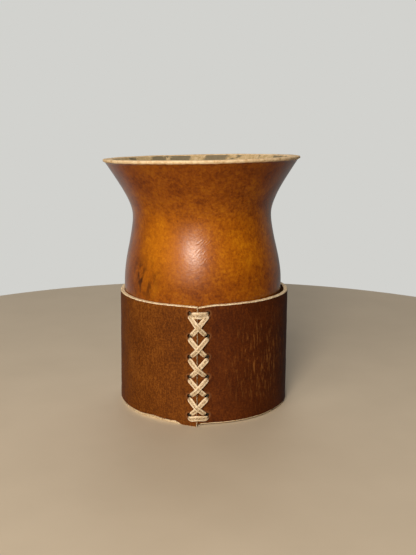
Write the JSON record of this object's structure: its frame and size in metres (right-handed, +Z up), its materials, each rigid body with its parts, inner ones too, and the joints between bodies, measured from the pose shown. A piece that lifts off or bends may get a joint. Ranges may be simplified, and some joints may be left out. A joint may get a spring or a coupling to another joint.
{
  "type": "mate gourd cup",
  "caption": "Drinking cup made from a dried gourd with a flared mouth, standing in a dark leather ring whose ends are laced together at the front with a flat pale thong.",
  "frame": {"origin": "on the table, under the middle of the gourd's mouth", "axes": "+Z up along the cup, the laced seam of the leather ring faces -Y, +X to the right when the seam is looked at"},
  "size_m": [0.1, 0.1, 0.1267],
  "materials": {
    "gourd_skin": "varnished dried calabash, glossy orange-brown skin, raw buff inside and cut rim",
    "ring_leather": "matt dark brown vegetable-tanned leather with pale cut edges",
    "rawhide_lace": "pale flat rawhide thong, matt"
  },
  "bodies": {
    "root": {"gourd": "gourd_skin", "leather_ring": "ring_leather", "lace": "rawhide_lace"}
  },
  "joints": []
}
